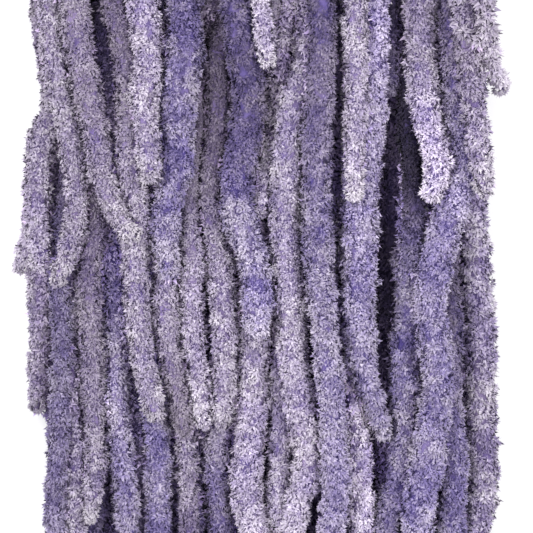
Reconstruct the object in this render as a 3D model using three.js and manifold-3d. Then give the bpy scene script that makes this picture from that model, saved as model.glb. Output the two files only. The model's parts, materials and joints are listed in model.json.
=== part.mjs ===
// A cut head of hanging amaranth, lying on a table with its tassels combed towards -Y.
// One stem carries a fan of thin stalks, and each stalk ends in a long drooping tassel.
// The tassels lie in three tiers, one on another: under, middle and upper.
// Units are millimetres. X runs across the head, Y from the tips to the cut end, and Z up.
import * as THREE from "three";
import { mergeVertices } from "three/addons/utils/BufferGeometryUtils.js";
import Module from "manifold-3d";

// Driving dimensions
const CUT_END_Y = 256; // the stem's cut end
const STEM_TIP_Y = 142; // where the stem ends among its stalks
const STEM_RADIUS = [2.4, 4.4]; // at the tip and at the cut end
const STEM_LIFT = 24; // height of the stem's middle where the stalks leave it
const STEM_BEND = 5; // how far the stem bows sideways
const STEM_SIDES = 8; // one of them faces down, so that the cut end lies flat
const STALK_RADIUS = 1.3;
const STALK_LENGTH = 16; // bare stalk between the stem and its tassel
const FAN_Y = 110; // below this the tassels run side by side
const FAN_SPREAD = 0.8; // how much higher an outer stalk leaves the stem, per mm of its place across
const FAN_SCATTER = 2.5; // and how much that wanders
const SWELL_LENGTH = 46; // a tassel takes at least this length to grow to full width
const FULL_Y = 98; // and is not full above this, however long its way there
const NARROWING = 60; // it grows narrower from this far above its tip
const TIP_LENGTH = 13; // and rounds off over this length
const LUMPS = 0.07; // share of its radius by which it swells and shrinks on the way
const LUMP_LENGTH = [17, 29]; // distance between two such swellings, for the two waves of them
const RELIEF = 2.1; // depth of the furrows between flower clusters
const THIN = 3.2; // a tassel of less radius than this has its rows farther apart
const LEAN = 0.34; // share of a row by which a cluster's peak points to the tip
const CLEARANCE = 0.35; // free space between two tassels
const PRESSED = 1.5; // what comes this close to the table is pressed flat on it
const SINK = 0.2; // share of its radius by which an under tassel is pressed down
const STEP = 3; // distance between the stations of a laid tassel
const GIVE = 2.2; // how far sideways a tassel gives way to its neighbours
const SIDES = 6;
const ROW = { under: 19, middle: 10, upper: 7.8 }; // distance between rows of clusters

// The tassels' places. A route is the line of the middle, from the fan to the tip. Full width
// comes first, then the width near the tip. Where bare is given, the tassel is a thin stalk above
// that Y.
const UNDER_LANES = 17; // an odd number, so that both outer ones lie on the table
const UNDER_WIDTH = 12.2;
const UNDER_END = 10;
const UNDER_HALF_SPAN = 77;
const UNDER_SWAY = 1.2;
const UNDER_TIPS = [-118, -158];

const MIDDLE = [
  {
    width: 10, end: 8.5, bare: 55,
    route: [
      [-84, 100], [-80, 50], [-82, 20], [-84, -5], [-84.5, -30], [-86, -45], [-87, -56],
    ],
  },
  {
    width: 9, end: 8, bare: 50,
    route: [
      [-69, 100], [-70, 50], [-71, 10], [-72.4, -15], [-72.4, -50], [-71.5, -80], [-74, -100],
      [-72, -126], [-70, -146],
    ],
  },
  {
    width: 9.4, end: 8.5, bare: 80,
    route: [
      [-60, 100], [-60, 60], [-61, 10], [-59.5, -15], [-58.8, -50], [-57, -72], [-54, -88],
      [-53, -105], [-54, -142],
    ],
  },
  {
    width: 10, end: 8.5, bare: 20,
    route: [
      [-42, 100], [-43, 40], [-45, -10], [-44, -35], [-41.5, -60], [-41, -85], [-41, -105],
      [-43, -134],
    ],
  },
  {
    width: 9, end: 8, bare: 20,
    route: [
      [-17, 100], [-14, 30], [-13, -10], [-14, -40], [-16.5, -62], [-17, -85], [-15, -105],
      [-16, -148],
    ],
  },
  {
    width: 9, end: 8, bare: 40,
    route: [
      [3, 100], [3, 30], [3, -20], [4, -55], [4, -75], [2.5, -88], [5, -104], [6, -128],
      [5, -150],
    ],
  },
  {
    width: 9.4, end: 7.6, bare: 40,
    route: [
      [28, 100], [28, 20], [28.5, -20], [29.5, -38], [31.8, -58], [33.3, -72], [34.8, -90],
      [35.6, -108], [33, -135],
    ],
  },
  {
    width: 11, end: 9, bare: 60,
    route: [
      [52, 100], [55, 50], [56, 20], [54, 0], [54.5, -20], [52, -30], [53, -55], [51, -78],
      [47, -95], [44, -128],
    ],
  },
  {
    width: 10.5, end: 9, bare: 20,
    route: [
      [68, 100], [70, 40], [70, -10], [70, -38], [71, -55], [73, -75], [72, -90], [69, -118],
      [68, -138],
    ],
  },
  {
    width: 11.5, end: 9.5, bare: 70,
    route: [
      [73, 100], [74, 60], [75.5, 35], [78, 10], [80, -10], [80.8, -35], [80, -60], [81.8, -82],
      [80, -97], [78, -122],
    ],
  },
  {
    width: 8, end: 7.4, bare: 50,
    route: [
      [-76, 100], [-77, 40], [-78.5, 0], [-78, -20], [-77.6, -45], [-76.6, -68], [-78, -86],
      [-77.6, -100], [-78.6, -132],
    ],
  },
  {
    width: 8.5, end: 7.2, bare: 60,
    route: [
      [-64, 100], [-64.5, 50], [-65.5, 15], [-66, -20], [-66.2, -60], [-66.6, -78], [-69.2, -98],
    ],
  },
  {
    width: 7.5, end: 6.5, bare: 10,
    route: [
      [-29, 100], [-31, 30], [-33, -20], [-32, -50], [-30, -72], [-29.5, -95], [-28, -118],
      [-27, -136],
    ],
  },
  {
    width: 12, end: 10, bare: 40,
    route: [
      [-6, 100], [-5, 20], [-5, -20], [-6, -50], [-7, -66], [-9.5, -82], [-6, -94], [1, -108],
      [4, -130],
    ],
  },
  {
    width: 9, end: 8, bare: 130,
    route: [
      [25, 100], [24, 60], [24.5, 30], [24.5, 5], [26, -12], [25, -30], [27, -50], [25.5, -68],
      [27, -92], [24, -118],
    ],
  },
  {
    width: 8.5, end: 7.5, bare: 130,
    route: [[-63, 100], [-61.5, 78], [-59.5, 58], [-58, 40], [-57, 24]],
  },
  { width: 8, end: 6.5, bare: 130, route: [[48, 100], [47.5, 84], [47.5, 64]] },
  { width: 9, end: 8, bare: 90, route: [[54, 100], [53, 60], [55, 38], [56, 18], [53, -2]] },
];

const UPPER = [
  {
    width: 8.5, end: 7, bare: 60,
    route: [
      [-85, 100], [-80.5, 70], [-84.5, 45], [-87.6, 26], [-88.2, 12], [-89.4, 4], [-93.6, -3],
    ],
  },
  {
    width: 10.4, end: 9.2,
    route: [
      [-84.4, 100], [-81.6, 84], [-78, 70], [-78, 60], [-82.6, 50], [-85.4, 40], [-86.6, 25],
      [-86.8, 10], [-86.2, -2],
    ],
  },
  {
    width: 10, end: 8.4,
    route: [
      [-56, 100], [-51.6, 84], [-49.6, 70], [-49.4, 50], [-49.2, 35], [-49.2, 18], [-50, 0],
      [-48.6, -14], [-47.4, -30], [-44.6, -44], [-40.5, -59],
    ],
  },
  { width: 9.4, end: 7, route: [[-22, 100], [-20.5, 86], [-21, 72], [-24, 60], [-28.5, 49]] },
  {
    width: 10, end: 8.4, bare: 130,
    route: [
      [-15, 100], [-18, 74], [-19.6, 55], [-22, 34], [-22, 18], [-19.6, 2], [-17.6, -12],
      [-16.8, -28], [-17.6, -44], [-20, -61],
    ],
  },
  { width: 8, end: 6.6, route: [[10, 100], [8, 82], [5.5, 62], [2, 44], [-0.6, 30], [-2.8, 17]] },
  {
    width: 11.4, end: 9,
    route: [
      [15, 100], [14, 80], [11, 62], [8.6, 48], [7.8, 28], [7.6, 8], [9, -6], [10, -24],
      [12, -40], [15.4, -57], [18.6, -69], [18, -78], [14, -87], [11, -99], [11, -120],
    ],
  },
  {
    width: 10.8, end: 9.6,
    route: [
      [20, 100], [19.4, 78], [17.4, 60], [16.6, 40], [16.6, 18], [17.8, 0], [19.4, -16],
      [21, -34], [22.6, -50], [23, -66], [24.6, -84], [23, -104], [22, -126],
    ],
  },
  {
    width: 9.4, end: 7.8, bare: 45,
    route: [
      [-38, 100], [-39, 30], [-38, 0], [-37.4, -16], [-35.6, -32], [-31.6, -45], [-29, -56],
      [-28.6, -64.5],
    ],
  },
  {
    width: 9.4, end: 7.4, bare: 45,
    route: [
      [-28, 100], [-27, 40], [-27.4, 8], [-28.6, -12], [-28, -32], [-26.6, -46], [-25.4, -62],
    ],
  },
  {
    width: 12.6, end: 10.6,
    route: [
      [-11, 100], [-9.5, 84], [-8, 68], [-8.4, 54], [-12, 38], [-14, 26], [-11.6, 15], [-6, 4],
      [-3.6, -8], [-3.4, -27],
    ],
  },
  {
    width: 12.4, end: 11,
    route: [
      [70, 100], [70.6, 84], [71.4, 66], [74, 48], [74, 36], [69, 23], [65.4, 10], [62, -4],
      [62, -20], [64.4, -38], [62.6, -58], [60.4, -76], [57, -94], [56, -124],
    ],
  },
  {
    width: 10.6, end: 8.8,
    route: [[76.6, 100], [77, 84], [77.8, 66], [78.4, 50], [79, 38], [79.8, 25.5]],
  },
  { width: 9.6, end: 6.4, route: [[79, 100], [79.8, 90], [81.2, 80], [83.6, 72.5], [88.6, 65]] },
  {
    width: 13, end: 8.6,
    route: [
      [39.6, 100], [39.4, 80], [38.8, 60], [37.4, 44], [36, 28], [35.4, 12], [34.8, -4],
      [34.6, -20], [35.4, -34], [38.6, -46], [42, -56], [45, -65],
    ],
  },
  {
    width: 14, end: 10,
    route: [
      [-30.4, 100], [-31.2, 84], [-33, 66], [-35, 48], [-36, 30], [-36, 12], [-33.8, -5],
    ],
  },
  { width: 12, end: 9.6, route: [[-46, 100], [-44.3, 80], [-43.4, 58], [-43, 43], [-41.2, 30.5]] },
  {
    width: 9.4, end: 8,
    route: [
      [-80.6, 100], [-79.4, 84], [-77, 66], [-76.2, 52], [-73.2, 38], [-72, 20], [-73.2, 8],
      [-79.8, -8],
    ],
  },
  {
    width: 11, end: 8.2,
    route: [
      [-74.4, 100], [-73, 86], [-70.6, 70], [-67, 54], [-61.8, 38], [-56.8, 24], [-46.5, 9],
    ],
  },
  { width: 7, end: 5.6, route: [[4, 110], [4.4, 102], [5, 93.5]] },
  { width: 9, end: 7.2, route: [[-4.4, 100], [-3.6, 90], [-1.4, 81], [-0.8, 73.5]] },
  {
    width: 9.4, end: 7.8,
    route: [[33.4, 100], [33.2, 84], [33.8, 66], [33.2, 48], [33.2, 36], [33, 23.5]],
  },
  {
    width: 12, end: 9.4,
    route: [[59, 100], [59.4, 86], [60, 70], [61.6, 56], [64.2, 47], [66.4, 39], [66.6, 32], [61.4, 25]],
  },
];

const seeded = (seed) => () => {
  seed = (seed + 0x6d2b79f5) | 0;
  let t = Math.imul(seed ^ (seed >>> 15), 1 | seed);
  t = (t + Math.imul(t ^ (t >>> 7), 61 | t)) ^ t;
  return ((t ^ (t >>> 14)) >>> 0) / 4294967296;
};
const random = seeded(11);
const between = (low, high) => low + (high - low) * random();
const { lerp, smoothstep, clamp } = THREE.MathUtils;
const UP = new THREE.Vector3(0, 0, 1);

// The under tassels run in even lanes. Every second one lies on the table, and then each of the
// others in the groove between two of them, so that no light comes through.
function underRoutes() {
  const lanes = Array.from({ length: UNDER_LANES }, (_, i) => i);
  return [...lanes.filter((i) => i % 2 === 0), ...lanes.filter((i) => i % 2)].map((lane) => {
    const x = lerp(-UNDER_HALF_SPAN, UNDER_HALF_SPAN, lane / (UNDER_LANES - 1));
    const tip = between(...UNDER_TIPS);
    const sway = (y) => x + UNDER_SWAY * Math.sin(y / 26);
    const route = [100, 60, 20, -20, -60, -100, tip].map((y) => [sway(y), y]);
    return { width: UNDER_WIDTH, end: UNDER_END, route };
  });
}

// The stem's middle and its radius at a distance along Y
function stemAt(y) {
  const share = (y - STEM_TIP_Y) / (CUT_END_Y - STEM_TIP_Y);
  const radius = lerp(...STEM_RADIUS, share);
  const x = STEM_BEND * Math.sin(Math.PI * clamp(share, 0, 1));
  const z = lerp(STEM_LIFT, radius * Math.cos(Math.PI / STEM_SIDES), smoothstep(share, 0.3, 1));
  return { point: new THREE.Vector3(x, y, z), radius };
}

// A tassel's line in plan: out of the stem, round the fan, and down its route.
function planLine({ route }) {
  const [x, y] = [route[0][0], Math.max(route[0][1], FAN_Y)];
  const leaves = STEM_TIP_Y + 4 + FAN_SPREAD * Math.abs(x) + between(-FAN_SCATTER, FAN_SCATTER);
  const root = stemAt(leaves).point.setZ(0);
  const drop = leaves - y;
  const fan = new THREE.CubicBezierCurve3(
    root,
    new THREE.Vector3(root.x + 0.62 * (x - root.x), leaves - 0.12 * drop, 0),
    new THREE.Vector3(x, y + 0.5 * drop, 0),
    new THREE.Vector3(x, y, 0),
  );
  const below = route.filter((p) => p[1] < y - 4).map((p) => new THREE.Vector3(p[0], p[1], 0));
  const line = new THREE.CatmullRomCurve3([...fan.getPoints(4), ...below], false, "centripetal");
  line.arcLengthDivisions = 400;
  return line;
}

// The outer radius at a station, from the bare stalk to the tip
function radiusAlong({ width, end, bare = Infinity }, along, length, y, alongFull) {
  const past = Math.min(along - STALK_LENGTH, bare - y);
  const swell = smoothstep(past, -4, Math.max(SWELL_LENGTH, bare === Infinity ? alongFull : 0));
  const toTip = length - along;
  const full = lerp(end, width, smoothstep(toTip, TIP_LENGTH, NARROWING)) / 2;
  const taper = Math.sqrt(clamp(0.28 + (0.8 * toTip) / TIP_LENGTH, 0, 1));
  const wave = (pitch) => Math.sin((2 * Math.PI * (along + 3 * width)) / pitch);
  const lumpy = 1 + (LUMPS / 2) * (wave(LUMP_LENGTH[0]) + wave(LUMP_LENGTH[1]));
  return Math.max(STALK_RADIUS, full * swell * taper * lumpy);
}

// Stations of a tassel: its points in plan, its radius there, and whether it is still stalk.
function stationsOf(tassel) {
  const line = planLine(tassel);
  const length = line.getLength();
  const count = Math.round(length / STEP);
  const points = line.getSpacedPoints(count);
  const alongFull = points.findIndex((p) => p.y < FULL_Y) * STEP - STALK_LENGTH;
  return points.map((point, i) => {
    const along = (i * length) / count;
    const radius = radiusAlong(tassel, along, length, point.y, alongFull);
    return { point, radius, stalk: along < STALK_LENGTH, aside: 0 };
  });
}

// Neighbours of one tier that only press on each other's sides give way a little, sideways.
function makeRoom(tassels) {
  const free = tassels.map((stations) => stations.filter((s) => s.point.y < FAN_Y));
  for (let pass = 0; pass < 60; pass++) {
    free.forEach((one, i) => {
      for (const other of free.slice(i + 1)) {
        for (const a of one) {
          const b = other.find((s) => Math.abs(s.point.y - a.point.y) < STEP / 2);
          if (!b) continue;
          const dx = a.point.x + a.aside - b.point.x - b.aside;
          const lap = a.radius + b.radius + 2 * CLEARANCE - Math.abs(dx);
          if (lap < 0 || lap > 0.45 * (a.radius + b.radius)) continue;
          a.aside = clamp(a.aside + 0.2 * Math.sign(dx) * lap, -GIVE, GIVE);
          b.aside = clamp(b.aside - 0.2 * Math.sign(dx) * lap, -GIVE, GIVE);
        }
      }
      let before = 0;
      for (const s of one) before = s.aside = (before + 2 * s.aside) / 3;
      for (const s of [...one].reverse()) before = s.aside = (before + 2 * s.aside) / 3;
    });
  }
  tassels.flat().forEach((s) => (s.point.x += s.aside));
}

// How high a station has to lie to clear what is already laid
function heightNeeded(station, laid, isUnder) {
  let z = station.radius * (isUnder ? 1 - SINK : 1);
  for (const other of laid) {
    if (station.stalk && other.stalk) continue;
    const reach = station.radius + other.radius + CLEARANCE;
    const dx = station.point.x - other.point.x;
    const dy = station.point.y - other.point.y;
    const flat = dx * dx + dy * dy;
    if (flat < reach * reach) z = Math.max(z, other.point.z + Math.sqrt(reach * reach - flat));
  }
  return z;
}

// Lays a tassel on what is there, bending softly over it, and adds it to the pile.
function lay(stations, laid, isUnder) {
  const root = stemAt(stations[0].point.y).point.z;
  const needed = stations.map((s) => heightNeeded(s, laid, isUnder));
  const held = stations.filter((s) => s.stalk).length;
  let z = needed.map((n, i) => (i < held ? lerp(root, needed[held], i / held) : n));
  const soften = isUnder ? 12 : 70;
  for (let pass = 0; pass < soften; pass++) {
    z = z.map((h, i) => {
      if (i === 0) return root;
      const next = z[Math.min(i + 1, z.length - 1)];
      const floor = stations[i].stalk ? Math.max(needed[i], STALK_RADIUS) : needed[i];
      return Math.max(floor, (z[i - 1] + 2 * h + next) / 4);
    });
  }
  stations.forEach((s, i) => (s.point.z = i < held ? lerp(root, z[held], i / held) : z[i]));
  laid.push(...stations);
}

// A tube round a line of stations. The section is a polygon that shape() sets vertex by vertex.
function tube(stations, sides, shape) {
  const vertices = [];
  const last = stations.length - 1;
  stations.forEach((s, row) => {
    const before = stations[Math.max(row - 1, 0)].point;
    const after = stations[Math.min(row + 1, last)].point;
    const along = after.clone().sub(before).normalize();
    const across = new THREE.Vector3().crossVectors(along, UP).normalize();
    const up = new THREE.Vector3().crossVectors(across, along);
    for (let side = 0; side < sides; side++) {
      const angle = (2 * Math.PI * (side + 0.5)) / sides - Math.PI / 2;
      const { radius, lead } = shape(s, row, side);
      const v = s.point.clone().addScaledVector(across, radius * Math.cos(angle));
      vertices.push(v.addScaledVector(up, radius * Math.sin(angle)).addScaledVector(along, lead));
    }
  });
  const start = vertices.push(stations[0].point.clone()) - 1;
  const end = vertices.push(stations[last].point.clone()) - 1;
  const faces = [];
  for (let side = 0; side < sides; side++) {
    const next = (side + 1) % sides;
    faces.push([start, side, next]);
    faces.push([end, last * sides + next, last * sides + side]);
    for (let row = 0; row < last; row++) {
      const [a, b] = [row * sides + side, row * sides + next];
      const [c, d] = [a + sides, b + sides];
      // The diagonal joins the two furrows, so that each peak stands alone.
      if ((row + side) % 2) faces.push([a, d, b], [a, c, d]);
      else faces.push([a, c, b], [b, c, d]);
    }
  }
  return { vertices, faces };
}

// The rows of clusters along a laid tassel. They lie closer on its full part than on its thin start.
function rowsOf(stations, tier) {
  const body = stations.filter((s) => !s.stalk);
  const line = new THREE.CatmullRomCurve3(body.map((s) => s.point));
  const length = line.getLength();
  const radiusAt = (share) => {
    const at = share * (body.length - 1);
    const low = Math.min(Math.floor(at), body.length - 2);
    return lerp(body[low].radius, body[low + 1].radius, at - low);
  };
  const shares = [0];
  while (shares.at(-1) < 1) {
    const share = shares.at(-1);
    shares.push(share + (ROW[tier] * (radiusAt(Math.min(share, 1)) < THIN ? 1.7 : 1)) / length);
  }
  return shares.map((share) => {
    const scaled = share / shares.at(-1);
    return { point: line.getPointAt(scaled), radius: radiusAt(scaled) };
  });
}

// Every second vertex of a tassel is a cluster's peak, and leans to the tip. The rest are furrows.
function tasselMesh(rings, tier) {
  const rows = rings.length - 1;
  const pitch = ROW[tier];
  const made = tube(rings, SIDES, (s, row, side) => {
    const isEnd = row === 0 || row === rows;
    const peak = (row + side) % 2 === 0 && !isEnd;
    const furrow = Math.min(RELIEF, 0.36 * s.radius) * between(0.75, 1.1);
    return {
      radius: row === 0 ? STALK_RADIUS : row === rows ? 0.7 * s.radius : s.radius - (peak ? 0 : furrow),
      lead: peak && s.radius > 2 * STALK_RADIUS ? LEAN * pitch * between(0.7, 1) : 0,
    };
  });
  if (tier === "under") made.vertices.forEach((v) => (v.z = v.z < PRESSED ? 0 : v.z));
  return made;
}

function geometryOf({ vertices, faces }) {
  const geometry = new THREE.BufferGeometry().setFromPoints(vertices);
  geometry.setIndex(faces.flat());
  return geometry;
}

const wasm = await Module();
wasm.setup();

function toSolid(geometry) {
  const bare = new THREE.BufferGeometry();
  bare.setAttribute("position", geometry.getAttribute("position"));
  bare.setIndex(geometry.index);
  const merged = mergeVertices(bare, 1e-4);
  return new wasm.Manifold(
    new wasm.Mesh({
      numProp: 3,
      vertProperties: merged.attributes.position.array,
      triVerts: new Uint32Array(merged.index.array),
    }),
  );
}

function toGeometry(solid) {
  const mesh = solid.getMesh();
  const geometry = new THREE.BufferGeometry();
  geometry.setAttribute("position", new THREE.BufferAttribute(mesh.vertProperties, 3));
  geometry.setIndex(new THREE.BufferAttribute(mesh.triVerts, 1));
  return geometry;
}

// The stem with every stalk grown out of it. A stalk stops short of its tassel's first cluster.
function stemMesh(pile) {
  const rows = 9;
  const spine = Array.from({ length: rows + 1 }, (_, i) => stemAt(lerp(CUT_END_Y, STEM_TIP_Y, i / rows)));
  const round = (s) => ({ radius: s.radius, lead: 0 });
  const stem = toSolid(geometryOf(tube(spine, STEM_SIDES, round)));
  const stalks = pile.map(({ root, rings }) => {
    const [first, second] = rings.map((ring) => ring.point);
    const onward = second.clone().sub(first).normalize();
    const end = first.clone().addScaledVector(onward, -CLEARANCE);
    const bend = end.clone().addScaledVector(onward, -2);
    const points = [root, bend, end];
    return toSolid(geometryOf(tube(points.map((point) => ({ point, radius: STALK_RADIUS })), 4, round)));
  });
  return toGeometry(wasm.Manifold.union([stem, ...stalks]));
}

const dyed = new THREE.MeshStandardMaterial({ color: 0x9388b8, roughness: 0.9, metalness: 0 });
const woody = new THREE.MeshStandardMaterial({ color: 0x6f6488, roughness: 0.8, metalness: 0 });

const head = new THREE.Group();
const laid = [];
const pile = [];
const tiers = { under: underRoutes(), middle: MIDDLE, upper: UPPER };
const stemStations = Array.from({ length: 40 }, (_, i) => {
  const at = stemAt(lerp(STEM_TIP_Y, CUT_END_Y, i / 39));
  return { ...at, stalk: true };
});

for (const [tier, tassels] of Object.entries(tiers)) {
  const lines = tassels.map(stationsOf);
  if (tier !== "under") makeRoom(lines);
  lines.forEach((stations, i) => {
    lay(stations, laid, tier === "under");
    const rings = rowsOf(stations, tier);
    const mesh = new THREE.Mesh(geometryOf(tasselMesh(rings, tier)), dyed);
    mesh.name = `tassel_${tier}_${String(i + 1).padStart(2, "0")}`;
    head.add(mesh);
    pile.push({ root: stations[0].point, rings });
  });
  if (tier === "under") laid.push(...stemStations);
}

const stem = new THREE.Mesh(stemMesh(pile), woody);
stem.name = "stem";
head.add(stem);

// The origin goes to the middle of the underside.
const box = new THREE.Box3().setFromObject(head);
const middle = box.getCenter(new THREE.Vector3());
head.position.set(-middle.x, -middle.y, -box.min.z);

export default head;
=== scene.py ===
"""Looks of an amaranth head that lies on a pale floor. Each tassel's solid is replaced by a core
under thousands of small pointed florets, and the stem by a ribbed one. The head's sizes are in
millimetres here, and only its finished vertices are turned into metres."""

import json
import math

import bpy
import numpy as np
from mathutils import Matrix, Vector
from mathutils.bvhtree import BVHTree


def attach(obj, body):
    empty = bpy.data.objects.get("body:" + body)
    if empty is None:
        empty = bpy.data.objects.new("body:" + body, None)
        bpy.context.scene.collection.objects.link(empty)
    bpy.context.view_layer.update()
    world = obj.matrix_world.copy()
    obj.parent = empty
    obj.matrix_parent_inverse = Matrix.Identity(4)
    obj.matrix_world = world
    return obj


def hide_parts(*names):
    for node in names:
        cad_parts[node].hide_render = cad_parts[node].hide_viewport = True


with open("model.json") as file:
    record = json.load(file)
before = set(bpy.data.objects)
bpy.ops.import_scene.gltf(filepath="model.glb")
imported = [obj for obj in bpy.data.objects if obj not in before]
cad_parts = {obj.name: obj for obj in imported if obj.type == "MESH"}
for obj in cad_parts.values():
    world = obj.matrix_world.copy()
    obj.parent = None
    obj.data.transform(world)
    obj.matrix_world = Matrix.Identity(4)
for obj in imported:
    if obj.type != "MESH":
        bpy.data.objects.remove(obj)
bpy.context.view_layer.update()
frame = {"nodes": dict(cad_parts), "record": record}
rng = np.random.default_rng(7)

MM = 1000  # millimetres in a metre
GOLDEN = math.pi * (3 - math.sqrt(5))  # turn between neighbours on an even spiral
LOWEST = 0.05  # height over the floor that no vertex lies below

# The stem, in the plan of the head's own source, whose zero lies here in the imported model's frame
PLAN_ZERO = np.array([2.320, -52.294])
STEM_TIP_Y = 142
CUT_END_Y = 256
STEM_RADIUS = (2.4, 4.4)  # at its tip and at its cut end
STEM_LIFT = 24
STEM_LEVEL = 0.3  # share of it, from its tip, that stays lifted
STEM_BEND = 5
STEM_CORNERS = 8  # of its solid, which rests on a flat side
STEM_ROWS = 44
STEM_SIDES = 36
RIBS = ((0.055, 9, 0), (0.02, 4, 1))  # waves in the bark: share of the radius, number and turn

# The stalks between the stem and the tassels
STALK_LENGTH = 16
STALK_RADIUS = (1.5, 1.2)  # at the stem and at the tassel
STALK_BEND = 2.4  # distance from its tassel where a stalk begins to line up with it
STALK_PULL = 0.65  # how strongly it does so
STALK_GAP = 0.2
STALK_ROWS = 7
STALK_SIDES = 8
STALK_ROOTS = 300  # places along the stem that a stalk may grow from
WRONG_WAY = 1000  # makes a root that lies below its tassel's start the last choice

# How a tassel's middle line is read off its solid
STEP = 2.0  # between two cuts across it
MOST_STEPS = 400
TIP_RADIUS = 1.0
TIP_REACH = 3  # the line starts at the mean of the points this near to the tip
AIM_REACH = 24  # and towards the mean of those this near
STEMWARD = (0.0, 0.6, 0.0)
STEADY = 0.65  # share of its direction that the line keeps from one cut to the next
CUT_REACH = 11  # points of a cut that lie further off belong to another stretch of the tassel
FEWEST_ENDS = 4  # with fewer of them the tassel has ended
LINE_SOFTNESS = 1.6
PEAK_REACH = 2  # the radius at a cut is the largest of those of so many cuts on each side
MOST_RADIUS = 7.2
RADIUS_SOFTNESS = 1.5

# How clusters of florets lie on a tassel
FREE_Y = 100  # below here in the plan the tassels hang free
FAN_FADE = 25  # and this far above it their painted light and shade fade out, so they all look equally light
CLUSTER_AREA = 10.5  # surface of tassel that one cluster covers, in mm2
THIN_RADIUS = 1.4  # a thinner stretch has as many clusters as one of this radius
FULL_RADIUS = 3.8  # on a stretch thinner than this the clusters are smaller
SMALLEST = 0.5
BALL = 2.2  # radius of a cluster
BALL_SPREAD = (0.78, 1.25)
BALL_SINK = 0.8  # share of its radius that a cluster's middle lies below its outside
BALL_LEAST = 0.2  # least distance of its middle from the tassel's middle line
PROUD = -0.15  # how far the clusters' outside lies past the solid's
UNEVEN = 0.35  # how far chance moves a cluster in or out
LUMPS = ((11.0, 1), (6.3, -2), (23.0, 2))  # waves along a tassel: pitch and turns round it
LUMP_HEIGHT = 0.35
LUMP_TURN = 6  # each wave starts at a chance turn up to this one, in radians
FURROW_SKY = (0.05, 0.15, 0.3, 0.5)  # share of the sky seen in a furrow between two tassels
FURROW = (0, 1, 1, 0)  # and how fully the clusters there swell
FILL = 1.6  # how far they then do
SPIRAL_STRAY = 0.1
LEAN = 0.25  # how much a cluster leans towards its tassel's tip
TIP_LEAN = 1.6  # and how much more at the very tip
TIP_LENGTH = 6  # of the stretch where this grows
LEAN_STRAY = 0.15
SKY_RAYS = 14
SKY_REACH = 90
SKY_START = 0.9  # height over the solid that the rays start from

# Clusters that see little of the sky are mostly hidden, so they have fewer and larger leaves:
# the share of the sky above which this holds, the number of leaves and how much larger they are
LEAVES = ((0.5, 45, 1.0), (0.3, 24, 1.2), (0.12, 11, 1.5), (-1, 6, 1.6))
DARK_SKY = 0.12  # of the clusters that see less than this
DARK_SHARE = 0.6  # only this share is made

# A floret leaf, in shares of its cluster's radius
LEAF_LENGTH = (0.45, 0.738)
LEAF_HALF_WIDTH = (0.19, 0.26)
LEAF_OUT = 0.6  # distance of its root from the cluster's middle
LEAF_BACK = 0.1
LEAF_STRAY = 0.14
CROWN = (6, 86)  # degrees from the cluster's axis to its first leaf and its last
STEEP = 0.9  # an axis that rises more than this is close to upright
LIE_OVER = 0.7  # the leaves of the crown lie over to the side instead of pointing straight out
DROOP = 0.4  # how much a leaf turns towards the tassel's tip
WAY_STRAY = 0.22
TWIST_STRAY = 0.3
FACE_OUT = 0.55  # how a leaf takes light: as its own place on the cluster does
FACE_AXIS = 0.5  # as its cluster does
FACE_UP = 0.45  # as level ground does
FACE_UP_SHUT = 0.9  # and how much more so where no sky is seen
OPEN_SKY = 0.5  # a leaf that sees this share of the sky is in the open
FACE_STRAY = 0.12

# How pale a leaf is: at its root, what its point adds, what standing high adds (painted shade, darker low
# in the furrows between clusters) and what chance adds
PALE_ROOT = 0.06
PALE_POINT = 0.21
PAINTED_FURROW_SHADE = 0.37
PALE_CHANCE = 0.3
HIGH_DEPTH = 1.05  # depth of a tassel's furrows, in shares of a cluster's radius, over which the painted furrow shade fades
PALE_TIP = 0.25  # how much paler a tassel is at its very tip
PALE_TIP_LENGTH = 12
LEAST_LIGHT = 0.1  # the shade that a tint of 0 stands for
LEAF_LIGHT = (0.92, 1.08)
TONE_STRAY = 0.09
LIGHT_STRAY = 0.05

# The core under the clusters
CORE_STEP = 4.5
CORE_FEWEST_ROWS = 8
CORE_SIDES = 6
CORE_DEPTH = 1.6
CORE_LEAST_RADIUS = 0.6
CORE_TIP = 0.5
CORE_TINT = (0.12, 0.8 - LEAST_LIGHT, 0.35, 0.6)  # pale, light, sky and tone, as on a leaf, set low so that the core shows as painted shade between the florets

# The florets' colours: in the depth, in between, at a leaf's point, and a greyish mauve
PALETTES = {
    "lavender": ("71649C", "A799C4", "E9E1F2", "B1A4C3"),
    "mauve": ("65588A", "9C8EB8", "E4DCED", "A89BBB"),
    "violet": ("4D4384", "8E81BA", "DBD1EB", "9F92BB"),
    "deep_violet": ("3D3460", "6F6398", "B6ACCC", "807498"),
}
BARK = ("4F4263", "A494B8")
BARK_STOPS = (0.3, 0.72)
BARK_NOISE = (1500, 4)  # streaks: noise per metre and its detail
BARK_STRETCH = 0.08  # share of that noise that is left along the stem
BARK_RELIEF = 0.0003  # in metres
BARK_BUMP = 0.35
PITH = "D9CDB8"
PALE_GREY = 0.15  # share of grey that the palest colour of a mauve tassel holds
DRIFT_NOISE = (55, 3)  # large drifts of colour
PATCH_NOISE = (150, 2)  # smaller patches in them
PATCH_SHARE = 0.4
NOISE_RANGE = (0.36, 0.64)  # most of such noise lies between these
DRIFT_REACH = 0.55
DRIFT_LEAST = 0.35  # how strong the drifts are on the mauvest tassel
DRIFT_BY_TONE = 0.8  # and how much stronger on the most violet one
DRIFT_DARK = 0.4  # how much darker the most violet drifts are than the palest ones
GAIN = 1.3  # how much lighter all the florets are than their palettes
PALEST = (0.88, 0.8, 0.94)
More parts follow.
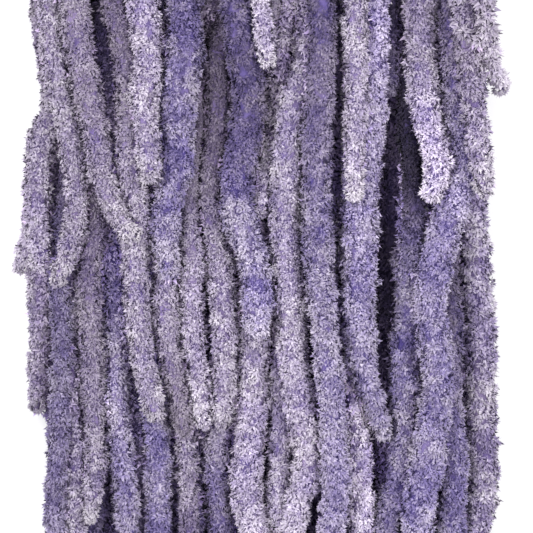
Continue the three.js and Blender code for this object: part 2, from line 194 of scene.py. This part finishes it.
# Colours of painted light and shade that multiply a floret's own: by how light its tassel is, and by its
# share of the sky, which makes it darker and more violet deep between the tassels
LIGHT_CAST = ((0, (0.93, 0.8, 1)), (1, (1, 1, 0.97)))
DEPTH_CAST = (
    (0, (0.12, 0.08, 0.2)),
    (0.07, (0.55, 0.45, 0.7)),
    (0.15, (0.98, 0.88, 1)),
    (0.38, (0.83, 0.79, 0.85)),
    (0.7, (0.6, 0.6, 0.59)),
)

# Floor, lights and camera, in metres
FLOOR_HALF = 3
FLOOR_GREYS = ((0, (0.86, 0.86, 0.86)), (1, (0.9, 0.9, 0.9)))
FLOOR_GRAIN = 400
MIDDLE = (PLAN_ZERO[0] / MM, PLAN_ZERO[1] / MM, 0.03)
LAMPS = {"left": (-0.8, 0.25, 1.2), "right": (0.8, 0.1, 1.35)}  # place past the middle, and height
LAMP_SIZE = 1.1
LAMP_POWER = 16
FRONT = 0.036  # height of the foremost tassels
PICTURE_WIDTH = 0.2  # how much the picture shows at that height
FOCAL_LENGTH = 250
SENSOR_WIDTH = 36
SEEN_FROM = 0.05
SEEN_TO = 20

# How violet a tassel is, at even steps from where it comes free of the others to its tip: 0 is a
# pale greyish mauve. They are given one by one, and a tassel without its own has its tier's.
TIER_TONES = {"under": (0.8, 0.7), "middle": (0.6, 0.45), "upper": (0.4, 0.3)}
TONES = {
    "upper_03": (0.5, 0.35),
    "upper_05": (0.35, 0.4),
    "upper_06": (0.6, 0.5),
    "upper_07": (0.7, 0.3),
    "upper_08": (0.6, 0.15),
    "upper_11": (1.1, 0.65),
    "upper_12": (0.3, 0.75),
    "upper_14": (0.1, 0.1),
    "upper_15": (0.3, 0.5),
    "upper_16": (0.9, 0.55),
    "upper_17": (0.35, 0.3),
    "upper_22": (0.35, 0.15),
    "upper_23": (0.6, 0.25),
    "middle_03": (0.75, 0.4),
    "middle_04": (0.9, 0.8),
    "middle_05": (0.75, 0.65),
    "middle_06": (0.8, 0.8),
    "middle_07": (0.9, 0.6),
    "middle_08": (0.95, 0.8),
    "middle_09": (0.7, 0.9),
    "middle_10": (1.0, 0.95),
    "middle_11": (0.8, 0.3),
    "middle_12": (0.75, 0.55),
    "middle_13": (0.5, 0.4),
    "middle_14": (0.5, 0.3),
    "middle_15": (0.9, 0.8),
    "middle_16": (1.1, 1.0),
    "middle_17": (1.1, 1.0),
    "middle_18": (1.1, 1.0),
}

# How light it is at such steps, from six levels: partly the tassel's own lightness and partly painted
# light and shade, darker where it lies in shade among the others and brighter where it lies open
DARK, DIM, SOFT, PLAIN, CLEAR, BRIGHT = 0.15, 0.5, 0.75, 1.0, 1.25, 1.6
# The under tier is dimmer: painted shade, as it lies beneath the others
TIER_LIGHTNESS_AND_PAINTED_LIGHT = {"under": (SOFT, SOFT), "middle": (PLAIN, PLAIN), "upper": (PLAIN, PLAIN)}
LIGHTNESS_AND_PAINTED_LIGHT = {
    "upper_01": (CLEAR, CLEAR),
    "upper_02": (SOFT, CLEAR),
    "upper_03": (DIM, PLAIN, PLAIN),
    "upper_04": (SOFT, PLAIN),
    "upper_05": (DARK, DIM, CLEAR, PLAIN),
    "upper_06": (BRIGHT, CLEAR, PLAIN, BRIGHT),
    "upper_07": (PLAIN, CLEAR),
    "upper_08": (DIM, PLAIN, CLEAR),
    "upper_09": (CLEAR, CLEAR, DIM),
    "upper_10": (DIM, DIM, CLEAR, CLEAR),
    "upper_11": (DIM, DIM, PLAIN, CLEAR),
    "upper_12": (DIM, CLEAR, PLAIN, CLEAR),
    "upper_13": (PLAIN, SOFT, CLEAR, PLAIN),
    "upper_14": (SOFT, CLEAR),
    "upper_15": (BRIGHT, CLEAR, PLAIN),
    "upper_16": (SOFT, PLAIN, PLAIN),
    "upper_17": (CLEAR, PLAIN),
    "upper_19": (SOFT, SOFT, PLAIN),
    "upper_21": (CLEAR, CLEAR),
    "upper_22": (PLAIN, CLEAR),
    "upper_23": (SOFT, PLAIN, BRIGHT, BRIGHT),
    "middle_01": (CLEAR, PLAIN),
    "middle_02": (CLEAR, PLAIN),
    "middle_03": (CLEAR, CLEAR, SOFT),
    "middle_04": (BRIGHT, CLEAR, PLAIN, SOFT),
    "middle_05": (BRIGHT, PLAIN, DIM),
    "middle_06": (DARK, DIM, PLAIN, BRIGHT),
    "middle_07": (BRIGHT, BRIGHT),
    "middle_08": (CLEAR, PLAIN, SOFT),
    "middle_09": (DARK, DARK, DIM, PLAIN, SOFT),
    "middle_10": (CLEAR, PLAIN),
    "middle_11": (DIM, PLAIN, CLEAR),
    "middle_12": (DARK, DIM, SOFT, PLAIN),
    "middle_13": (BRIGHT, BRIGHT, PLAIN, DIM),
    "middle_14": (CLEAR, DIM, CLEAR, CLEAR),
    "middle_15": (SOFT, DIM),
    "middle_16": (DARK, DIM, SOFT, BRIGHT),
    "middle_17": (DARK, PLAIN),
    "middle_18": (DARK, DARK, DARK, PLAIN),
    "under_16": (DIM, DARK, PLAIN),
}
# Tassels with a coarser and more ragged cover than the others
RAGGED = {"upper_14": 1.45, "upper_13": 1.3, "middle_10": 1.15}


def unit(v):
    return v / (np.linalg.norm(v, axis=-1, keepdims=True) + 1e-12)


def smooth(values, width):
    """A running mean with soft ends, along the first axis."""
    reach = int(3 * width)
    weights = np.exp(-0.5 * (np.arange(-reach, reach + 1) / width) ** 2)
    weights /= weights.sum()
    padded = np.concatenate([values[:1].repeat(reach, 0), values, values[-1:].repeat(reach, 0)])
    if values.ndim == 1:
        return np.convolve(padded, weights, "valid")
    return np.stack([np.convolve(column, weights, "valid") for column in padded.T], 1)


def read_along(places, along, values):
    """Values given along a line, read at other places on it."""
    if values.ndim == 1:
        return np.interp(places, along, values)
    return np.stack([np.interp(places, along, column) for column in values.T], 1)


def triangles(obj):
    """The corners of an object's triangles."""
    mesh = obj.data
    mesh.calc_loop_triangles()
    corners = np.zeros(len(mesh.loop_triangles) * 3, np.int32)
    mesh.loop_triangles.foreach_get("vertices", corners)
    co = np.zeros(len(mesh.vertices) * 3, np.float32)
    mesh.vertices.foreach_get("co", co)
    return co.reshape(-1, 3).astype(float)[corners].reshape(-1, 3, 3) * MM


def crossing(tri, place, way):
    """Where the edges of triangles cross the plane at right angles to a way, near one place on it."""
    side = (tri - place) @ way
    cut = (side.min(1) < 0) & (side.max(1) > 0)
    tri, side = tri[cut], side[cut]
    ends = []
    for a, b in ((0, 1), (1, 2), (2, 0)):
        here = side[:, a] * side[:, b] < 0
        share = (side[here, a] / (side[here, a] - side[here, b]))[:, None]
        ends.append(tri[here, a] * (1 - share) + tri[here, b] * share)
    ends = np.concatenate(ends)
    return ends[np.linalg.norm(ends - place, axis=1) < CUT_REACH]


def follow(obj):
    """A tassel's middle line and outer radius, from its stalk to its tip, read off its solid."""
    tri = triangles(obj)
    points = tri.reshape(-1, 3)
    tip = points[points[:, 1].argmin()]
    away = np.linalg.norm(points - tip, axis=1)
    at = points[away < TIP_REACH].mean(0)
    way = unit(unit(points[away < AIM_REACH].mean(0) - at) + STEMWARD)
    line, radii = [at], [TIP_RADIUS]
    for _ in range(MOST_STEPS):
        ends = crossing(tri, line[-1] + STEP * way, way)
        if len(ends) < FEWEST_ENDS:
            break
        around = ends.mean(0)
        radii.append(np.linalg.norm(ends - around, axis=1).max())
        way = unit(STEADY * way + (1 - STEADY) * unit(around - line[-1]))
        line.append(around)
    line = smooth(np.array(line), LINE_SOFTNESS)
    padded = np.pad(radii, PEAK_REACH, mode="edge")
    widest = np.max([padded[k : k + len(radii)] for k in range(2 * PEAK_REACH + 1)], axis=0)
    widest = smooth(np.minimum(widest, MOST_RADIUS), RADIUS_SOFTNESS)
    return line[::-1], widest[::-1]


def frame_along(line):
    """Unit vectors at each point of a line: towards the tip, to the side and up."""
    forward = unit(np.gradient(line, axis=0))
    side = unit(np.cross([0.0, 0.0, 1.0], forward))
    return forward, side, np.cross(forward, side)


def sky_view(tree, points):
    """Share of the sky that each point sees, from rays against the solids."""
    k = np.arange(SKY_RAYS) + 0.5
    height = np.sqrt(1 - k / SKY_RAYS)
    flat = np.sqrt(1 - height**2)
    rays = np.stack([flat * np.cos(k * GOLDEN), flat * np.sin(k * GOLDEN), height], 1)
    rays = [Vector(ray) for ray in rays]
    seen = np.zeros(len(points))
    for i, point in enumerate(points):
        origin = Vector(point)
        seen[i] = sum(tree.ray_cast(origin, ray, SKY_REACH)[0] is None for ray in rays)
    return seen / SKY_RAYS


class Piece:
    """Collects vertices, triangles, tints and the ways that they face, for one mesh."""

    def __init__(self):
        self.verts = []
        self.tris = []
        self.tints = []
        self.facing = []
        self.size = 0

    def add(self, verts, tris, tints, facing=None):
        """Without a way to face, the vertices have zeros, which leave their normals to Blender."""
        self.verts.append(verts)
        self.tris.append(tris + self.size)
        self.tints.append(tints)
        self.facing.append(np.zeros((len(verts), 3)) if facing is None else facing)
        self.size += len(verts)

    def build(self, name, material):
        verts = np.concatenate(self.verts)
        verts[:, 2] = np.maximum(verts[:, 2], LOWEST)
        tris = np.concatenate(self.tris).astype(np.int32)
        mesh = bpy.data.meshes.new(name)
        mesh.vertices.add(len(verts))
        mesh.vertices.foreach_set("co", (verts / MM).astype(np.float32).ravel())
        mesh.loops.add(tris.size)
        mesh.loops.foreach_set("vertex_index", tris.ravel())
        mesh.polygons.add(len(tris))
        mesh.polygons.foreach_set("loop_start", np.arange(0, tris.size, 3, dtype=np.int32))
        mesh.polygons.foreach_set("use_smooth", np.ones(len(tris), bool))
        tint = mesh.color_attributes.new("tint", "FLOAT_COLOR", "POINT")
        tint.data.foreach_set("color", np.concatenate(self.tints).astype(np.float32).ravel())
        mesh.update(calc_edges=True)
        mesh.normals_split_custom_set_from_vertices(np.concatenate(self.facing).tolist())
        mesh.materials.append(material)
        obj = bpy.data.objects.new(name, mesh)
        bpy.context.scene.collection.objects.link(obj)
        return obj


def tube(line, radii, sides, ribs=None):
    """Vertices and triangles of a tube round a line, with a cap at each end."""
    _, side, up = frame_along(line)
    angle = np.arange(sides) * 2 * math.pi / sides
    wide = np.repeat(radii[:, None], sides, 1)
    if ribs is not None:
        wide *= ribs(angle)
    outward = np.cos(angle)[:, None] * side[:, None] + np.sin(angle)[:, None] * up[:, None]
    verts = (line[:, None] + wide[..., None] * outward).reshape(-1, 3)
    row, k = np.meshgrid(np.arange(len(line) - 1), np.arange(sides), indexing="ij")
    a = (row * sides + k).ravel()
    b = (row * sides + (k + 1) % sides).ravel()
    tris = [np.stack([a, b, a + sides], 1), np.stack([b, b + sides, a + sides], 1)]
    first = len(verts)
    last = first + 1
    last_row = (len(line) - 1) * sides
    k = np.arange(sides)
    following = (k + 1) % sides
    tris.append(np.stack([np.full(sides, first), following, k], 1))
    tris.append(np.stack([np.full(sides, last), last_row + k, last_row + following], 1))
    return np.concatenate([verts, line[:1], line[-1:]]), np.concatenate(tris)


def crown(axes, per):
    """For the leaves of each cluster: the way out from its axis, and the height along the axis."""
    top, low = (math.cos(math.radians(degrees)) for degrees in CROWN)
    height = top - (np.arange(per) + 0.5) / per * (top - low)
    flat = np.sqrt(1 - height**2)
    turn = np.arange(per)[None] * GOLDEN + rng.uniform(0, 2 * math.pi, (len(axes), 1))
    # Any direction will do that isn't close to the axis.
    helper = np.where(np.abs(axes[..., 2:3]) < STEEP, [0.0, 0.0, 1.0], [1.0, 0.0, 0.0])
    u = unit(np.cross(helper, axes))
    v = np.cross(axes, u)
    outward = (np.cos(turn) * flat)[..., None] * u + (np.sin(turn) * flat)[..., None] * v
    return outward, height[None, :, None]


def florets(cluster, chosen, per, grow):
    """Round clusters of thin pointed leaves. Each leaf lies with its flat side outward."""
    middles, axes, forward = (cluster[key][chosen][:, None] for key in ("middle", "axis", "forward"))
    balls = cluster["ball"][chosen][:, None, None] * grow
    n = len(middles)

    def stray(amount):
        return rng.normal(0, amount, (n, per, 3))

    def draw(low, high):
        return rng.uniform(low, high, (n, per, 1))

    outward, height = crown(axes, per)
    away = outward + height * axes
    way = unit(outward + LIE_OVER * height * axes + DROOP * forward + stray(WAY_STRAY))
    across = unit(unit(np.cross(way, away)) + stray(TWIST_STRAY))
    across = unit(across - (across * way).sum(-1, keepdims=True) * way)
    length = balls * draw(*LEAF_LENGTH)
    width = balls * draw(*LEAF_HALF_WIDTH)
    root = middles + balls * (LEAF_OUT * away - LEAF_BACK * way + stray(LEAF_STRAY))
    verts = np.stack([root + width * across, root + length * way, root - width * across], 2)

    # The tint says how pale a leaf is, with painted shade low in the furrows, how light it is, partly
    # painted light and shade, how much of the sky it sees, which sets painted shade, and how violet it is.
    centre, radius, pale, light, sky, tone = (
        cluster[key][chosen][:, None, None] for key in ("centre", "radius", "pale", "light", "sky", "tone")
    )
    # Leaves low in the furrows between clusters get painted shade
    depth = HIGH_DEPTH * balls
    high = np.clip((np.linalg.norm(verts - centre, axis=-1) - radius + depth) / depth, 0, 1)
    at_point = np.array([0.0, 1.0, 0.0])
    tint = np.zeros((n, per, 3, 4))
    tint[..., 0] = PALE_ROOT + PALE_POINT * at_point + PAINTED_FURROW_SHADE * high + PALE_CHANCE * draw(0, 1) + pale
    tint[..., 1] = light * draw(*LEAF_LIGHT) - LEAST_LIGHT
    tint[..., 2] = sky
    tint[..., 3] = tone

    # Light falls on a leaf as on the cluster round it, so all of its corners share that direction.
    shut = 1 - np.clip(sky / OPEN_SKY, 0, 1)
    upward = (FACE_UP + FACE_UP_SHUT * shut) * [0, 0, 1]
    facing = unit(FACE_OUT * away + FACE_AXIS * axes + stray(FACE_STRAY) + upward)
    tris = np.arange(n * per * 3).reshape(-1, 3)
    first, second, third = (verts[..., corner, :] for corner in range(3))
    flip = ((np.cross(second - first, third - first) * facing).sum(-1) < 0).ravel()
    tris[flip] = tris[flip][:, ::-1]
    return verts.reshape(-1, 3), tris, tint.reshape(-1, 4), facing.repeat(3, axis=1).reshape(-1, 3)


def rgb(text):
    """A display colour as scene-linear numbers."""
    values = [int(text[i : i + 2], 16) / 255 for i in (0, 2, 4)]
    return [v / 12.92 if v <= 0.04045 else ((v + 0.055) / 1.055) ** 2.4 for v in values]


def feed(socket, value):
    """Joins a socket to another node's, or sets it to a plain value."""
    if isinstance(value, bpy.types.NodeSocket):
        socket.id_data.links.new(value, socket)
    else:
        socket.default_value = value


def calculate(tree, operation, *values, clamp=False):
    node = tree.nodes.new("ShaderNodeMath")
    node.operation = operation
    node.use_clamp = clamp
    for socket, value in zip(node.inputs, values):
        feed(socket, value)
    return node.outputs[0]


def recolour(tree, operation, colour, other, socket=1):
    node = tree.nodes.new("ShaderNodeVectorMath")
    node.operation = operation
    feed(node.inputs[0], colour)
    feed(node.inputs[socket], other)
    return node.outputs[0]


def mix(tree, kind, factor, a, b):
    node = tree.nodes.new("ShaderNodeMix")
    node.data_type = kind
    feed(node.inputs["Factor"], factor)
    feed(node.inputs["A"], a)
    feed(node.inputs["B"], b)
    return node.outputs["Result"]


def noise(tree, place, scale, detail):
    node = tree.nodes.new("ShaderNodeTexNoise")
    node.inputs["Scale"].default_value = scale
    node.inputs["Detail"].default_value = detail
    feed(node.inputs["Vector"], place)
    return node.outputs[0]


def ramp(tree, factor, stops):
    """Colours that blend into each other, each at its own place from 0 to 1."""
    node = tree.nodes.new("ShaderNodeValToRGB")
    elements = node.color_ramp.elements
    for element, (place, colour) in zip((elements[0], elements[1]), (stops[0], stops[-1])):
        element.position = place
        element.color = (*colour, 1)
    for place, colour in stops[1:-1]:
        elements.new(place).color = (*colour, 1)
    feed(node.inputs[0], factor)
    return node.outputs[0]


def read_tint(tree):
    """The four numbers of the tint that a mesh carries."""
    tint = tree.nodes.new("ShaderNodeAttribute")
    tint.attribute_name = "tint"
    split = tree.nodes.new("ShaderNodeSeparateColor")
    tree.links.new(tint.outputs["Color"], split.inputs[0])
    return split.outputs[0], split.outputs[1], split.outputs[2], tint.outputs["Alpha"]


def colour_drifts(tree, tone):
    """Drifts of a more violet colour. They are strong on a violet tassel and faint on a mauve one."""
    place = tree.nodes.new("ShaderNodeTexCoord").outputs["Object"]
    large = noise(tree, place, *DRIFT_NOISE)
    small = noise(tree, place, *PATCH_NOISE)
    mixed = mix(tree, "FLOAT", PATCH_SHARE, large, small)
    spread = tree.nodes.new("ShaderNodeMapRange")
    spread.inputs["From Min"].default_value = NOISE_RANGE[0]
    spread.inputs["From Max"].default_value = NOISE_RANGE[1]
    spread.inputs["To Min"].default_value = -DRIFT_REACH
    spread.inputs["To Max"].default_value = DRIFT_REACH
    tree.links.new(mixed, spread.inputs["Value"])
    amount = calculate(tree, "MULTIPLY_ADD", tone, DRIFT_BY_TONE, DRIFT_LEAST)
    return calculate(tree, "MULTIPLY", spread.outputs[0], amount)


def floret_material(name, palette):
    """Papery florets: dark at the root, pale at the point, more violet in drifts, with painted shade deep
    down and painted light and shade from each tassel's light.
    """
    material = bpy.data.materials.new(name)
    material.use_nodes = True
    tree = material.node_tree
    paleness, light, sky, tone = read_tint(tree)
    drifts = colour_drifts(tree, tone)
    paleness = calculate(tree, "MULTIPLY_ADD", drifts, -DRIFT_DARK, paleness, clamp=True)
    tone = calculate(tree, "ADD", drifts, tone, clamp=True)
    deep, middle, pale, grey = (np.array(rgb(text)) for text in palette)
    violet = ramp(tree, paleness, [(0, deep), (0.5, middle), (1, pale)])
    # On a mauve tassel the depth is greyer too, and the points are a little less violet.
    mauve_deep = 0.5 * (deep + 0.5 * grey)
    mauve_pale = (1 - PALE_GREY) * pale + PALE_GREY * pale.mean()
    mauve = ramp(tree, paleness, [(0, mauve_deep), (0.5, grey), (1, mauve_pale)])
    colour = mix(tree, "RGBA", tone, mauve, violet)
    # The light value paints each tassel's light and shade, and partly its own lightness, into its colour
    light = calculate(tree, "ADD", light, LEAST_LIGHT)
    colour = recolour(tree, "SCALE", colour, calculate(tree, "MULTIPLY", light, GAIN), "Scale")
    # Painted shade: a tassel painted darker is made more violet too.
    colour = recolour(tree, "MULTIPLY", colour, ramp(tree, light, LIGHT_CAST))
    # Painted shade: deep between the tassels, where little light comes back, the colour is made darker and
    # more violet by its share of the sky.
    colour = recolour(tree, "MULTIPLY", colour, ramp(tree, sky, DEPTH_CAST))
    colour = recolour(tree, "MINIMUM", colour, PALEST)
    shader = tree.nodes["Principled BSDF"]
    tree.links.new(colour, shader.inputs["Base Color"])
    shader.inputs["Roughness"].default_value = 0.72
    shader.inputs["Specular IOR Level"].default_value = 0.25
    shader.inputs["Sheen Weight"].default_value = 0.12
    shader.inputs["Sheen Roughness"].default_value = 0.5
    return material


MATERIALS = {slot: floret_material(f"florets_{slot}", PALETTES[slot]) for slot in PALETTES}


def stem_material():
    """A ribbed stalk, dyed with the head: mauve bark with lengthwise streaks and fine grain."""
    material = bpy.data.materials.new("stem_bark")
    material.use_nodes = True
    tree = material.node_tree
    place = tree.nodes.new("ShaderNodeTexCoord")
    stretch = tree.nodes.new("ShaderNodeMapping")
    stretch.inputs["Scale"].default_value = (1, BARK_STRETCH, 1)
    tree.links.new(place.outputs["Object"], stretch.inputs["Vector"])
    streaks = noise(tree, stretch.outputs[0], *BARK_NOISE)
    bark = ramp(tree, streaks, list(zip(BARK_STOPS, map(rgb, BARK))))
    pith_share = read_tint(tree)[0]
    colour = mix(tree, "RGBA", pith_share, bark, (*rgb(PITH), 1))
    bump = tree.nodes.new("ShaderNodeBump")
    bump.inputs["Strength"].default_value = BARK_BUMP
    bump.inputs["Distance"].default_value = BARK_RELIEF
    tree.links.new(streaks, bump.inputs["Height"])
    shader = tree.nodes["Principled BSDF"]
    tree.links.new(colour, shader.inputs["Base Color"])
    tree.links.new(bump.outputs[0], shader.inputs["Normal"])
    shader.inputs["Roughness"].default_value = 0.7
    return material


def place_clusters(key, line, radii, along, sizes, tree):
    """Clusters on a spiral down a tassel, spaced so that each covers a like share of the surface."""
    ragged = RAGGED.get(key, 1.0)
    length = along[-1]
    per_mm = 2 * math.pi * np.maximum(radii, THIN_RADIUS) / (CLUSTER_AREA * sizes**2)
    total = np.concatenate([[0], np.cumsum(0.5 * (per_mm[1:] + per_mm[:-1]) * np.diff(along))])
    count = int(total[-1])
    s = np.interp(np.arange(count), total, along) + rng.uniform(-0.5, 0.5, count)
    s = np.clip(s, 0, length)
    turn = np.arange(count) * GOLDEN + rng.normal(0, SPIRAL_STRAY, count)
    centre, radius, size = (read_along(s, along, values) for values in (line, radii, sizes))
    forward, side, up = (unit(read_along(s, along, values)) for values in frame_along(line))
    normal = np.cos(turn)[:, None] * side + np.sin(turn)[:, None] * up

    bulge = sum(
        LUMP_HEIGHT * np.sin(2 * math.pi * s / pitch + turns * turn + rng.uniform(0, LUMP_TURN))
        for pitch, turns in LUMPS
    )
    out = radius + size * (PROUD + bulge + rng.normal(0, UNEVEN, count) * ragged**2)
    ball = BALL * size * rng.uniform(*BALL_SPREAD, count)
    sky = sky_view(tree, centre + (radius + SKY_START)[:, None] * normal)
    out = out + FILL * size * np.interp(sky, FURROW_SKY, FURROW)

    # The looks, with the painted light and shade, go evenly from where the tassels come free of each other
    # to this one's tip. Above there, in the fan, no light or shade is painted, so all the tassels are
    # equally light.
    free = FREE_Y + PLAN_ZERO[1]
    hang = (free - centre[:, 1]) / (free - line[-1, 1])
    fan = np.clip((centre[:, 1] - free) / FAN_FADE, 0, 1)

    def looks(values):
        return np.interp(hang, np.linspace(0, 1, len(values)), values)

    tier = key.split("_")[0]
    to_tip = length - s
    lean = LEAN + TIP_LEAN * np.clip(1 - to_tip / TIP_LENGTH, 0, 1)
    axis = unit(normal + lean[:, None] * forward + rng.normal(0, LEAN_STRAY, (count, 3)))
    tone = looks(TONES.get(key, TIER_TONES[tier])) + rng.normal(0, TONE_STRAY, count)
    # This tassel's painted light and shade, partly its own lightness
    light = looks(LIGHTNESS_AND_PAINTED_LIGHT.get(key, TIER_LIGHTNESS_AND_PAINTED_LIGHT[tier])) * (1 - fan) + fan
    return {
        "middle": centre + np.maximum(out - BALL_SINK * ball, BALL_LEAST)[:, None] * normal,
        "axis": axis,
        "forward": forward,
        "centre": centre,
        "radius": radius,
        "ball": ball,
        "sky": sky,
        "pale": PALE_TIP * np.clip(1 - to_tip / PALE_TIP_LENGTH, 0, 1),
        "tone": tone,
        "light": light * rng.normal(1, LIGHT_STRAY, count),
    }


def core(line, radii, along, sizes):
    """A slim tube inside a tassel, which closes the gaps between the florets, tinted dark with painted
    shade.
    """
    rows = max(CORE_FEWEST_ROWS, int(along[-1] / CORE_STEP))
    t = np.linspace(0, along[-1], rows)
    slim = np.maximum(np.interp(t, along, radii - CORE_DEPTH * sizes), CORE_LEAST_RADIUS)
    slim[-1] *= CORE_TIP
    verts, tris = tube(read_along(t, along, line), slim, CORE_SIDES)
    return verts, tris, np.tile(CORE_TINT, (len(verts), 1))


def cover(name, line, radii, slot, tree):
    """One tassel: its core and the clusters of florets that cover it."""
    key = name.removeprefix("florets_")
    along = np.concatenate([[0], np.cumsum(np.linalg.norm(np.diff(line, axis=0), axis=1))])
    sizes = RAGGED.get(key, 1.0) * np.clip(radii / FULL_RADIUS, SMALLEST, 1)
    cluster = place_clusters(key, line, radii, along, sizes, tree)
    piece = Piece()
    piece.add(*core(line, radii, along, sizes))
    sky = cluster["sky"]
    made = (rng.uniform(0, 1, len(sky)) < DARK_SHARE) | (sky > DARK_SKY)
    for least, per, grow in LEAVES:
        chosen = made & (sky > least)
        made &= ~chosen
        if chosen.any():
            piece.add(*florets(cluster, chosen, per, grow))
    obj = piece.build(name, MATERIALS[slot])
    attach(obj, "root")
    return obj


def dress_tassels():
    """Covers every tassel, and gives back where each begins and the way it comes from there."""
    nodes = frame["nodes"]
    slots = {part["node"]: part["material_slot"] for part in frame["record"]["subparts"]}
    solids = np.concatenate([triangles(nodes[node]) for node in sorted(nodes)])
    faces = np.arange(len(solids) * 3).reshape(-1, 3)
    tree = BVHTree.FromPolygons(solids.reshape(-1, 3).tolist(), faces.tolist(), epsilon=0.0)
    starts = []
    for node in sorted(nodes):
        if node == "stem":
            continue
        line, radii = follow(nodes[node])
        starts.append((line[0], unit(line[0] - line[2])))
        florets_piece = cover(node.replace("tassel", "florets"), line, radii, slots[node], tree)
        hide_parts(node)
    return starts


def stem_at(y):
    """The stem's middle at a distance along the plan, and its radius."""
    share = np.clip((y - STEM_TIP_Y) / (CUT_END_Y - STEM_TIP_Y), 0, 1)
    radius = STEM_RADIUS[0] + (STEM_RADIUS[1] - STEM_RADIUS[0]) * share
    ease = np.clip((share - STEM_LEVEL) / (1 - STEM_LEVEL), 0, 1)
    ease = ease * ease * (3 - 2 * ease)
    z = STEM_LIFT * (1 - ease) + radius * math.cos(math.pi / STEM_CORNERS) * ease
    x = STEM_BEND * np.sin(math.pi * share)
    return np.stack([x + PLAN_ZERO[0], y + PLAN_ZERO[1], z], -1), radius


def stem_ribs(angle):
    """How far the bark stands out round the stem, in shares of its radius."""
    return 1 + sum(depth * np.cos(number * angle + turn) for depth, number, turn in RIBS)


def stalk_line(start, back):
    """The middle of the bare stalk from the stem to a tassel. It leaves the stem a stalk's length
    away, above where its tassel begins."""
    on_stem = stem_at(np.linspace(STEM_TIP_Y, CUT_END_Y, STALK_ROOTS))[0]
    away = np.linalg.norm(on_stem - start, axis=1)
    misfit = np.abs(away - STALK_LENGTH) + WRONG_WAY * (on_stem[:, 1] < start[1])
    root = on_stem[misfit.argmin()]
    bend = (1 - STALK_PULL) * root + STALK_PULL * (start + back * STALK_BEND)
    t = np.linspace(0, 1, STALK_ROWS)[:, None]
    return (1 - t) ** 2 * root + 2 * t * (1 - t) * bend + t * t * (start + STALK_GAP * back)


def dress_stem(starts):
    """The ribbed stem with its pale cut end, and the stalks that grow out of it."""
    piece = Piece()
    middle, radius = stem_at(np.linspace(CUT_END_Y, STEM_TIP_Y, STEM_ROWS))
    verts, tris = tube(middle, radius, STEM_SIDES, stem_ribs)
    tint = np.zeros((len(verts), 4))
    tint[STEM_ROWS * STEM_SIDES, 0] = 1  # the middle of the cut end
    piece.add(verts, tris, tint)
    for start, back in starts:
        verts, tris = tube(stalk_line(start, back), np.linspace(*STALK_RADIUS, STALK_ROWS), STALK_SIDES)
        piece.add(verts, tris, np.zeros((len(verts), 4)))
    stem = piece.build("stem_ribbed", stem_material())
    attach(stem, "root")
    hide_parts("stem")


def paper_material():
    """Matt white paper with a faint grain."""
    paper = bpy.data.materials.new("floor_paper")
    paper.use_nodes = True
    tree = paper.node_tree
    grain = tree.nodes.new("ShaderNodeTexNoise")
    grain.inputs["Scale"].default_value = FLOOR_GRAIN
    greys = ramp(tree, grain.outputs[0], FLOOR_GREYS)
    shader = tree.nodes["Principled BSDF"]
    tree.links.new(greys, shader.inputs["Base Color"])
    shader.inputs["Roughness"].default_value = 0.9
    return paper


def soft_light(name, place, aim):
    data = bpy.data.lights.new(name, "AREA")
    data.shape = "DISK"
    data.size = LAMP_SIZE
    data.energy = LAMP_POWER
    lamp = bpy.data.objects.new(name, data)
    lamp.location = place
    lamp.rotation_euler = (Vector(aim) - Vector(place)).to_track_quat("-Z", "Y").to_euler()
    bpy.context.scene.collection.objects.link(lamp)


def lay_floor():
    corners = [(x * FLOOR_HALF, y * FLOOR_HALF, 0) for x, y in ((-1, -1), (1, -1), (1, 1), (-1, 1))]
    floor_mesh = bpy.data.meshes.new("floor")
    floor_mesh.from_pydata(corners, [], [(0, 1, 2, 3)])
    floor_mesh.materials.append(paper_material())
    floor = bpy.data.objects.new("floor", floor_mesh)
    bpy.context.scene.collection.objects.link(floor)


def light_head():
    """A white room and two soft lamps."""
    for name, (across, along, height) in LAMPS.items():
        soft_light(name, (MIDDLE[0] + across, MIDDLE[1] + along, height), MIDDLE)
    world = bpy.data.worlds.new("studio")
    world.use_nodes = True
    world.node_tree.nodes["Background"].inputs["Color"].default_value = (1, 1, 1, 1)
    world.node_tree.nodes["Background"].inputs["Strength"].default_value = 1.0
    bpy.context.scene.world = world
    bpy.context.scene.view_settings.view_transform = "Standard"


def place_camera():
    """A long lens that looks straight down on the middle of the head."""
    lens = bpy.data.cameras.new("camera")
    lens.lens = FOCAL_LENGTH
    lens.sensor_width = SENSOR_WIDTH
    lens.clip_start = SEEN_FROM
    lens.clip_end = SEEN_TO
    reach = PICTURE_WIDTH * FOCAL_LENGTH / SENSOR_WIDTH
    camera = bpy.data.objects.new("camera", lens)
    camera.location = (MIDDLE[0], MIDDLE[1], FRONT + reach)
    bpy.context.scene.collection.objects.link(camera)
    bpy.context.scene.camera = camera


dress_stem(dress_tassels())
lay_floor()
light_head()
place_camera()
